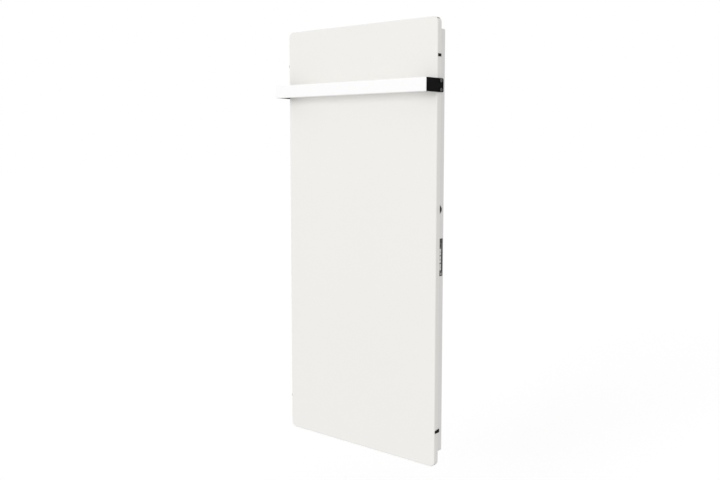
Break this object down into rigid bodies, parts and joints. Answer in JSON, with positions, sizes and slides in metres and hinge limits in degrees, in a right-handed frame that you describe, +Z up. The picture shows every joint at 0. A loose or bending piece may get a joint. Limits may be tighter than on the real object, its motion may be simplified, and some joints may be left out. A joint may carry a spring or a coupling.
{
  "type": "wall panel heater",
  "caption": "Upright slim wall panel convector heater: folded steel front panel and shallow rear casing, flat towel bar on side arms, setting wheel and key strip at the side.",
  "frame": {"origin": "centre of the four wall screw holes, on the wall's plane", "axes": "+Z up, the front faces -Y, the viewer's right is +X"},
  "size_m": [0.4596, 0.091, 1],
  "materials": {
    "panel_enamel": "satin off-white powder coat",
    "casing_enamel": "satin off-white powder coat",
    "bar_enamel": "smooth white enamel",
    "black_coat": "satin black powder coat",
    "black_screw": "blackened steel",
    "zinc_steel": "bright zinc plate",
    "galvanised_steel": "galvanised sheet",
    "aluminised_steel": "dull aluminised sheet",
    "mica": "flaky mica board",
    "track_alloy": "rolled resistance ribbon",
    "board_fibre": "pressed mineral fibre",
    "black_clip": "moulded black",
    "fascia_plastic": "fine-textured mid grey moulding",
    "smoked_lens": "polished smoked acrylic",
    "grey_key": "soft-touch light grey",
    "black_key": "soft-touch dark grey",
    "black_wheel": "moulded black, knurled",
    "white_plastic": "moulded white",
    "component_plastic": "moulded dark grey",
    "housing_plastic": "moulded mid grey",
    "board_laminate": "green solder mask",
    "led_body": "clear resin",
    "relay_case": "blue moulded case",
    "transformer_resin": "potted black resin",
    "capacitor_can": "drawn can",
    "terminal_plastic": "green moulding",
    "gland_plastic": "black nylon",
    "sensor_cap": "white cap",
    "cutout_body": "steatite body",
    "spacer_rubber": "black rubber",
    "element_sleeve": "glass-silk sleeve",
    "supply_sleeve": "brown silicone sleeve",
    "sensor_sleeve": "black sleeve",
    "earth_sleeve": "green and yellow sleeve"
  },
  "bodies": {
    "heater": {"backing_plate": "aluminised_steel", "bar_bracket_left": "black_coat", "bar_bracket_right": "black_coat", "bar_insert_left": "zinc_steel", "bar_insert_right": "zinc_steel", "bar_screws": "black_screw", "board_terminals": "terminal_plastic", "casing_screws": "zinc_steel", "clamp_bar_bottom": "zinc_steel", "clamp_bar_lower": "zinc_steel", "clamp_bar_top": "zinc_steel", "clamp_bar_upper": "zinc_steel", "clip_bottom_left": "black_clip", "clip_bottom_right": "black_clip", "clip_top_left": "black_clip", "clip_top_right": "black_clip", "control_board": "board_laminate", "control_fascia": "fascia_plastic", "control_housing": "housing_plastic", "cord_gland": "gland_plastic", "cutout_clamp": "zinc_steel", "display_lens": "smoked_lens", "display_module": "component_plastic", "earth_lead": "earth_sleeve", "earth_stud": "zinc_steel", "element_leads": "element_sleeve", "front_panel": "panel_enamel", "gland_cap": "gland_plastic", "gland_nut": "gland_plastic", "insulation_board": "board_fibre", "key_switches": "component_plastic", "level_leds": "led_body", "level_light_guide": "smoked_lens", "mica_sheets": "mica", "nut_plate_left": "zinc_steel", "nut_plate_right": "zinc_steel", "overheat_cutout": "cutout_body", "power_relay": "relay_case", "rear_casing": "casing_enamel", "receiver_lens": "smoked_lens", "resistance_track": "track_alloy", "room_sensor": "sensor_cap", "sensor_holder": "gland_plastic", "sensor_lead": "sensor_sleeve", "spacer_left": "spacer_rubber", "spacer_right": "spacer_rubber", "steel_nuts": "zinc_steel", "supply_capacitor": "capacitor_can", "supply_leads": "supply_sleeve", "supply_transformer": "transformer_resin", "terminal_block": "white_plastic", "towel_bar": "bar_enamel", "wall_bracket": "galvanised_steel", "wheel_potentiometer": "component_plastic"},
    "wheel": {"setting_wheel": "black_wheel", "wheel_shaft": "white_plastic"},
    "key_up": {"button_up": "grey_key"},
    "key_mode": {"button_mode": "grey_key"},
    "key_down": {"button_down": "grey_key"},
    "key_power": {"button_power": "black_key"}
  },
  "joints": [
    {"name": "wheel_turn", "type": "hinge", "parent": "heater", "child": "wheel", "pos_m": [0.2172, -0.0303, -0.217], "axis": [0, -1, 0], "range_deg": [-135, 135]},
    {"name": "press_up", "type": "slide", "parent": "heater", "child": "key_up", "axis": [-1, 0, 0], "range_m": [0, 0.0008], "stiffness_N_per_m": 800, "springref_m": -0.0006},
    {"name": "press_mode", "type": "slide", "parent": "heater", "child": "key_mode", "axis": [-1, 0, 0], "range_m": [0, 0.0008], "stiffness_N_per_m": 800, "springref_m": -0.0006},
    {"name": "press_down", "type": "slide", "parent": "heater", "child": "key_down", "axis": [-1, 0, 0], "range_m": [0, 0.0008], "stiffness_N_per_m": 800, "springref_m": -0.0006},
    {"name": "press_power", "type": "slide", "parent": "heater", "child": "key_power", "axis": [-1, 0, 0], "range_m": [0, 0.0008], "stiffness_N_per_m": 800, "springref_m": -0.0006}
  ]
}
